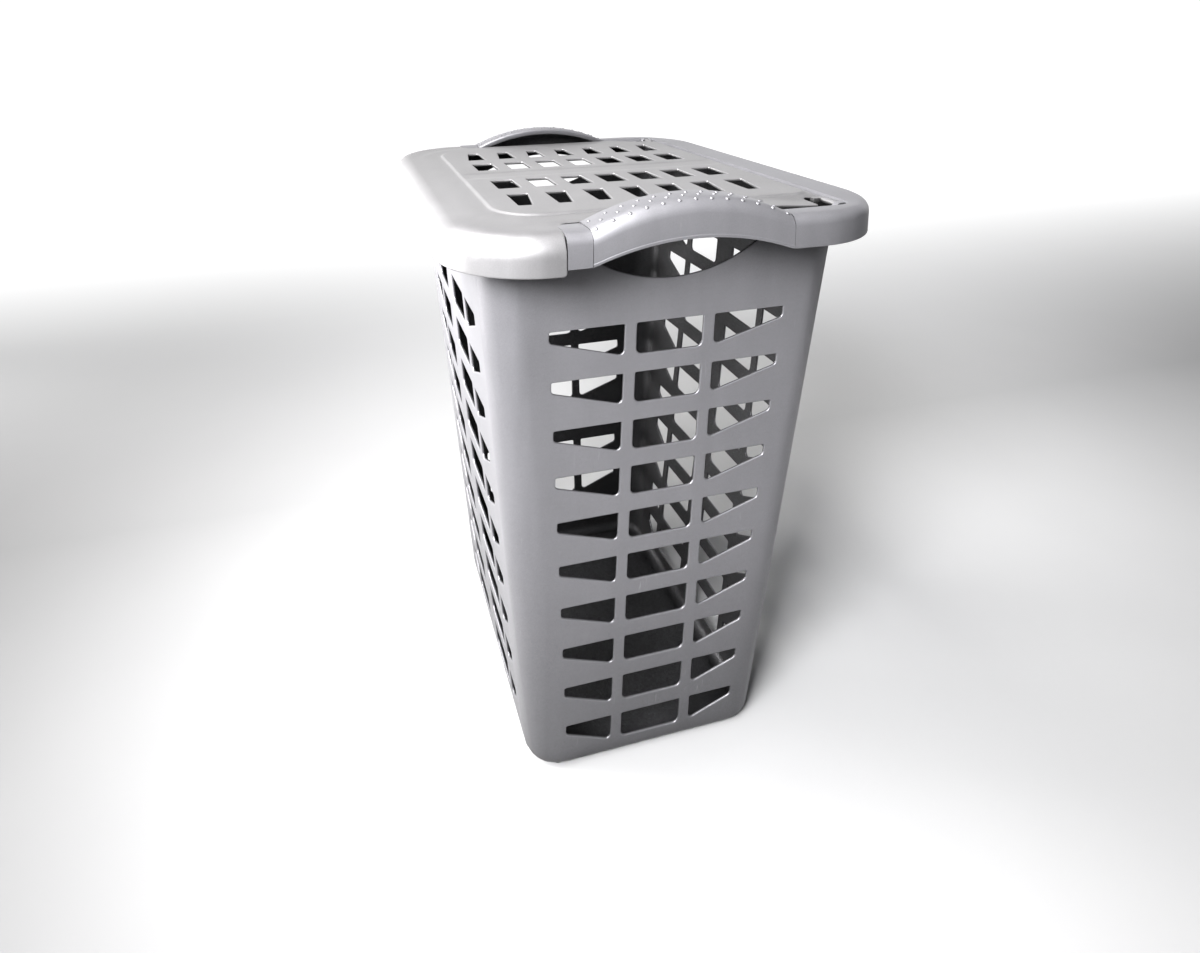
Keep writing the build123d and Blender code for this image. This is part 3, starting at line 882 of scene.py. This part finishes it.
def lid_slots():
    """Seven columns and four rows of slots. The outer rows narrow away from the lid's middle."""
    holes = []
    for column in range(LID_SLOT_COLUMNS):
        centre = (column - (LID_SLOT_COLUMNS - 1) / 2) * LID_SLOT_PITCH
        for row, (x0, x1) in enumerate(LID_SLOT_ROWS):
            if row in (1, 2):
                low_y, high_y = centre - LID_SLOT_WIDTH / 2, centre + LID_SLOT_WIDTH / 2
                loop = [(x0, low_y), (x1, low_y), (x1, high_y), (x0, high_y)]
            else:
                inner, outer = (x1, x0) if row == 0 else (x0, x1)
                turn = -1 if row == 0 else 1
                straight = centre - turn * LID_SLOT_WIDE / 2
                loop = [
                    (inner, straight),
                    (outer, straight),
                    (outer, straight + turn * LID_SLOT_NARROW),
                    (inner, straight + turn * LID_SLOT_WIDE),
                ]
            holes.append(fillet_loop([(x * MM, y, 1.6 * MM) for x, y in loop], 3))
    return holes


def build_lid(material):
    """The slotted lid with its rolled front and skirt, in one shell."""
    past = LID_ROLL * math.pi / 2 + LID_TOP - LID_ROLL - LID_SKIRT
    reach_x, reach_y = RIM_X - LID_ROLL, RIM_Y - LID_ROLL
    rolled = np.arange(ROLL_GRID, past, ROLL_GRID)
    step = np.array([-2, 0, 2]) * MM
    grid_u = np.concatenate([
        np.arange(-reach_x, reach_x, LID_GRID),
        BAND_HALF + step,
        -BAND_HALF + step,
        reach_x + rolled,
        -reach_x - rolled,
    ])
    grid_v = np.concatenate([np.arange(-reach_y, LID_REAR, LID_GRID), -reach_y - rolled])
    grid = lattice(thinned(grid_u), thinned(grid_v))
    grid = grid[np.abs(plateau_edge(grid[:, 0], grid[:, 1])) > 3.5 * MM]
    grid = np.concatenate([grid, plateau_points()])
    part = shell(lid_bend, lid_outline(), lid_slots(), grid, LID_WALL, LID_EDGE_ROUND)
    lid = make_piece("lid_shell", part, material, sharp=50)
    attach(lid, "lid")
    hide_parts("lid_panel", "lid_front_skirt", "lid_corner_skirt_left", "lid_corner_skirt_right")


# Materials

TONE_RANGE = (0.93, 1.07)
WEAR_HEIGHT = 0.3
SCUFF_COLOUR = (0.62, 0.62, 0.63, 1.0)
# Painted shade: how far the ambient occlusion reaches, and the darkest tone it paints into enclosed places.
PAINTED_SHADE_REACH = 0.6
PAINTED_SHADE_DARKEST = 0.07
BASKET_SHADE = 0.25
BASKET_TINT = (1.0, 0.99, 1.045)
LID_SHADE = 0.255
LID_TINT = (1.01, 0.995, 1.01)


def add(tree, kind, **inputs):
    """A shader node with its inputs and settings given by name."""
    node = tree.nodes.new(kind)
    for name, value in inputs.items():
        if hasattr(node, name):
            setattr(node, name, value)
        else:
            node.inputs[name.replace("_", " ")].default_value = value
    return node


def mix_number(tree, factor, start, end):
    """A number that runs from start to end with a 0 to 1 factor socket."""
    node = tree.nodes.new("ShaderNodeMapRange")
    tree.links.new(factor, node.inputs["Value"])
    node.inputs["To Min"].default_value = start
    node.inputs["To Max"].default_value = end
    return node.outputs["Result"]


def ramp(tree, value, start, end, low_end=0.0):
    """A clamped number that runs from low_end to 1 while value runs from start to end."""
    node = add(tree, "ShaderNodeMapRange", clamp=True)
    node.inputs["From Min"].default_value = start
    node.inputs["From Max"].default_value = end
    node.inputs["To Min"].default_value = low_end
    tree.links.new(value, node.inputs["Value"])
    return node.outputs["Result"]


def times_grey(tree, colour, value):
    """A colour socket multiplied by a number socket."""
    product = add(tree, "ShaderNodeMix", data_type="RGBA", blend_type="MULTIPLY")
    product.inputs["Factor"].default_value = 1.0
    grey = add(tree, "ShaderNodeCombineColor")
    for channel in ("Red", "Green", "Blue"):
        tree.links.new(value, grey.inputs[channel])
    tree.links.new(colour, product.inputs[6])
    tree.links.new(grey.outputs["Color"], product.inputs[7])
    return product.outputs[2]


def silver_plastic(name, shade, tint):
    """Satin silver-grey moulded plastic: metallic fleck, flow marks, fine grain, sink waviness, scuffs.

    Its colour is also darkened where surfaces enclose each other. This is painted shade from an ambient
    occlusion node, not a difference in the plastic: the inside of the real object is the same plastic, and
    appears dark in the photograph.
    """
    material = bpy.data.materials.new(name)
    material.use_nodes = True
    tree = material.node_tree
    tree.nodes.clear()
    output = add(tree, "ShaderNodeOutputMaterial")
    plastic = add(tree, "ShaderNodeBsdfPrincipled", Metallic=0.72, IOR=1.49)
    tree.links.new(plastic.outputs["BSDF"], output.inputs["Surface"])
    place = add(tree, "ShaderNodeTexCoord").outputs["Object"]

    mottle = add(tree, "ShaderNodeTexNoise", Scale=9.0, Detail=4.0, Roughness=0.6)
    tree.links.new(place, mottle.inputs["Vector"])
    stretch = add(tree, "ShaderNodeMapping")
    stretch.inputs["Scale"].default_value = (1.0, 1.0, 0.18)
    tree.links.new(place, stretch.inputs["Vector"])
    flow = add(tree, "ShaderNodeTexNoise", Scale=42.0, Detail=3.0, Roughness=0.55, Distortion=0.6)
    tree.links.new(stretch.outputs["Vector"], flow.inputs["Vector"])
    fleck = add(tree, "ShaderNodeTexVoronoi", Scale=2600.0)
    tree.links.new(place, fleck.inputs["Vector"])
    fleck_tone = add(tree, "ShaderNodeSeparateColor")
    tree.links.new(fleck.outputs["Color"], fleck_tone.inputs["Color"])

    dark = tuple(shade * 0.9 * t for t in tint) + (1.0,)
    light = tuple(shade * 1.1 * t for t in tint) + (1.0,)
    base = add(tree, "ShaderNodeMix", data_type="RGBA")
    base.inputs[6].default_value = dark
    base.inputs[7].default_value = light
    tree.links.new(mottle.outputs["Fac"], base.inputs["Factor"])

    streaked = times_grey(tree, base.outputs[2], mix_number(tree, flow.outputs["Fac"], *TONE_RANGE))
    flecked = times_grey(tree, streaked, mix_number(tree, fleck_tone.outputs["Red"], *TONE_RANGE))

    scratch_map = add(tree, "ShaderNodeMapping")
    scratch_map.inputs["Rotation"].default_value = (0.4, 0.2, 0.5)
    scratch_map.inputs["Scale"].default_value = (1.0, 1.0, 0.06)
    tree.links.new(place, scratch_map.inputs["Vector"])
    scratch = add(tree, "ShaderNodeTexNoise", Scale=620.0, Detail=2.0, Roughness=0.5)
    tree.links.new(scratch_map.outputs["Vector"], scratch.inputs["Vector"])
    scratch_line = ramp(tree, scratch.outputs["Fac"], 0.66, 0.74)
    patch = add(tree, "ShaderNodeTexNoise", Scale=13.0, Detail=2.0)
    tree.links.new(place, patch.inputs["Vector"])
    patch_mask = ramp(tree, patch.outputs["Fac"], 0.5, 0.7)
    height = add(tree, "ShaderNodeSeparateXYZ")
    tree.links.new(place, height.inputs["Vector"])
    near_floor = ramp(tree, height.outputs["Z"], WEAR_HEIGHT, 0.0, 0.1)
    worn_patch = add(tree, "ShaderNodeMath", operation="MULTIPLY")
    tree.links.new(patch_mask, worn_patch.inputs[0])
    tree.links.new(near_floor, worn_patch.inputs[1])
    worn = add(tree, "ShaderNodeMath", operation="MULTIPLY")
    tree.links.new(worn_patch.outputs[0], worn.inputs[0])
    tree.links.new(scratch_line, worn.inputs[1])

    scuffed = add(tree, "ShaderNodeMix", data_type="RGBA")
    scuffed.inputs[7].default_value = SCUFF_COLOUR
    tree.links.new(worn.outputs[0], scuffed.inputs["Factor"])
    tree.links.new(flecked, scuffed.inputs[6])
    # Painted shade: ambient occlusion darkens the base colour inside the basket, in recesses and low down
    # beside the floor.
    painted_shade_occlusion = add(tree, "ShaderNodeAmbientOcclusion", Distance=PAINTED_SHADE_REACH)
    painted_shade_occlusion.samples = 6
    painted_shade_factor = ramp(tree, painted_shade_occlusion.outputs["AO"], 0.3, 0.85, PAINTED_SHADE_DARKEST)
    painted_shade_colour = times_grey(tree, scuffed.outputs[2], painted_shade_factor)
    tree.links.new(painted_shade_colour, plastic.inputs["Base Color"])

    rough = mix_number(tree, flow.outputs["Fac"], 0.38, 0.5)
    rough_sum = add(tree, "ShaderNodeMath", operation="MULTIPLY_ADD")
    rough_sum.inputs[1].default_value = 0.25
    tree.links.new(worn.outputs[0], rough_sum.inputs[0])
    tree.links.new(rough, rough_sum.inputs[2])
    tree.links.new(rough_sum.outputs[0], plastic.inputs["Roughness"])

    wave = add(tree, "ShaderNodeTexNoise", Scale=16.0, Detail=2.0, Roughness=0.4)
    tree.links.new(place, wave.inputs["Vector"])
    sink = add(tree, "ShaderNodeBump", Strength=0.35, Distance=0.0012)
    tree.links.new(wave.outputs["Fac"], sink.inputs["Height"])
    grain = add(tree, "ShaderNodeTexNoise", Scale=1500.0, Detail=3.0, Roughness=0.6)
    tree.links.new(place, grain.inputs["Vector"])
    texture = add(tree, "ShaderNodeBump", Strength=0.3, Distance=0.00006)
    tree.links.new(grain.outputs["Fac"], texture.inputs["Height"])
    tree.links.new(sink.outputs["Normal"], texture.inputs["Normal"])
    tree.links.new(texture.outputs["Normal"], plastic.inputs["Normal"])
    return material


def floor_material():
    """A pale, faintly uneven studio floor, whose far side is a softly glowing backdrop."""
    material = bpy.data.materials.new("studio_floor")
    material.use_nodes = True
    tree = material.node_tree
    board = tree.nodes["Principled BSDF"]
    board.inputs["Roughness"].default_value = 0.85
    board.inputs["Emission Color"].default_value = (1.0, 1.0, 1.0, 1.0)
    place = add(tree, "ShaderNodeTexCoord").outputs["Object"]
    noise = add(tree, "ShaderNodeTexNoise", Scale=3.0, Detail=3.0)
    tree.links.new(place, noise.inputs["Vector"])
    tone = add(tree, "ShaderNodeMix", data_type="RGBA")
    tone.inputs[6].default_value = (0.36, 0.36, 0.362, 1.0)
    tone.inputs[7].default_value = (0.40, 0.40, 0.40, 1.0)
    tree.links.new(noise.outputs["Fac"], tone.inputs["Factor"])
    tree.links.new(tone.outputs[2], board.inputs["Base Color"])
    parts = add(tree, "ShaderNodeSeparateXYZ")
    tree.links.new(place, parts.inputs["Vector"])
    glow = add(tree, "ShaderNodeMapRange", clamp=True)
    glow.inputs["From Min"].default_value = -0.35
    glow.inputs["From Max"].default_value = -1.7
    glow.inputs["To Max"].default_value = 0.95
    tree.links.new(parts.outputs["X"], glow.inputs["Value"])
    tree.links.new(glow.outputs["Result"], board.inputs["Emission Strength"])
    return material


# Studio

FLOOR_PROFILE = ((0.001, 0), (1.5, 0), (4.0, 0), (5.5, 0.15), (6.6, 0.7), (7.2, 1.6), (7.4, 3.2))
FLOOR_SEGMENTS = 64
FLOOR_GAP = 0.0002


def build_stage():
    """A pale floor that curves up into a far backdrop on every side."""
    rings = []
    angles = np.linspace(0, 2 * math.pi, FLOOR_SEGMENTS + 1)[:-1]
    for radius, height in FLOOR_PROFILE:
        rings.append(np.stack([
            radius * np.cos(angles),
            radius * np.sin(angles),
            np.full(FLOOR_SEGMENTS, height),
        ], 1))
    floor = make_piece("studio_floor", sweep(rings, caps=False), floor_material(), sharp=180)
    floor.location.z = -FLOOR_GAP


SOFTBOXES = (
    ("side_softbox", (1.0, -0.95, 1.25), (0.2, -0.12, 0.6), (0.7, 0.7), 17.0, 60, (0.985, 0.985, 1.0)),
    ("front_softbox", (-0.7, -1.5, 0.6), (0.0, -0.1, 0.42), (1.0, 1.0), 15.0, 60, (1.0, 0.99, 0.985)),
    ("overhead_softbox", (0.1, -0.7, 1.7), (0.1, -0.1, 0.6), (1.1, 0.9), 8.5, 65, (1.0, 0.99, 0.98)),
)
WORLD_STRENGTH = 0.12


def area_light(name, place, target, size, power, spread, colour):
    """A softbox at place, pointed at target, with its light held within spread degrees."""
    data = bpy.data.lights.new(name, "AREA")
    data.shape = "RECTANGLE"
    data.size, data.size_y = size
    data.energy = power
    data.spread = math.radians(spread)
    data.color = colour
    light = bpy.data.objects.new(name, data)
    bpy.context.scene.collection.objects.link(light)
    light.location = place
    light.rotation_euler = (Vector(target) - Vector(place)).to_track_quat("-Z", "Y").to_euler()


def build_lights():
    """Softboxes beside the near end, on the front side and overhead towards the front, and a dim world."""
    for name, place, target, size, power, spread, colour in SOFTBOXES:
        area_light(name, place, target, size, power, spread, colour)
    world = bpy.data.worlds.new("studio")
    world.use_nodes = True
    background = world.node_tree.nodes["Background"]
    background.inputs["Color"].default_value = (0.93, 0.95, 1.0, 1.0)
    background.inputs["Strength"].default_value = WORLD_STRENGTH
    bpy.context.scene.world = world


CAMERA_PLACE = (0.7553, -0.2652, 0.6994)
CAMERA_YAW = 2.8861
CAMERA_PITCH = -0.1954
CAMERA_ROLL = -0.0143
CAMERA_LENS = 22.914
CAMERA_SHIFT = (0.0561, -0.2449)


def build_camera():
    """The camera, from its heading, pitch and roll."""
    cos_pitch = math.cos(CAMERA_PITCH)
    forward = Vector((
        cos_pitch * math.cos(CAMERA_YAW),
        cos_pitch * math.sin(CAMERA_YAW),
        math.sin(CAMERA_PITCH),
    ))
    right = forward.cross(Vector((0, 0, 1))).normalized()
    up = right.cross(forward)
    turned_right = right * math.cos(CAMERA_ROLL) + up * math.sin(CAMERA_ROLL)
    turned_up = up * math.cos(CAMERA_ROLL) - right * math.sin(CAMERA_ROLL)
    data = bpy.data.cameras.new("camera")
    data.sensor_width = 36
    data.lens = CAMERA_LENS
    data.shift_x, data.shift_y = CAMERA_SHIFT
    camera = bpy.data.objects.new("camera", data)
    bpy.context.scene.collection.objects.link(camera)
    pose = Matrix((turned_right, turned_up, -forward)).transposed().to_4x4()
    pose.translation = CAMERA_PLACE
    camera.matrix_world = pose
    bpy.context.scene.camera = camera


basket_plastic = silver_plastic("basket_silver_plastic", BASKET_SHADE, BASKET_TINT)
lid_plastic = silver_plastic("lid_silver_plastic", LID_SHADE, LID_TINT)
build_tub(basket_plastic)
build_rear_rim(basket_plastic)
build_front_rim(basket_plastic)
for side_name, side_sign in SIDES.items():
    build_handle_foot(side_name, side_sign, basket_plastic)
    build_ledge(side_name, side_sign, basket_plastic)
    build_handle(side_name, side_sign, basket_plastic)
    build_knuckle(side_name, side_sign, basket_plastic)
    pin = frame["nodes"][f"hinge_pin_{side_name}"]
    pin.data.materials.clear()
    pin.data.materials.append(lid_plastic)
build_lid(lid_plastic)
build_stage()
build_lights()
build_camera()
bpy.context.scene.view_settings.view_transform = "Standard"
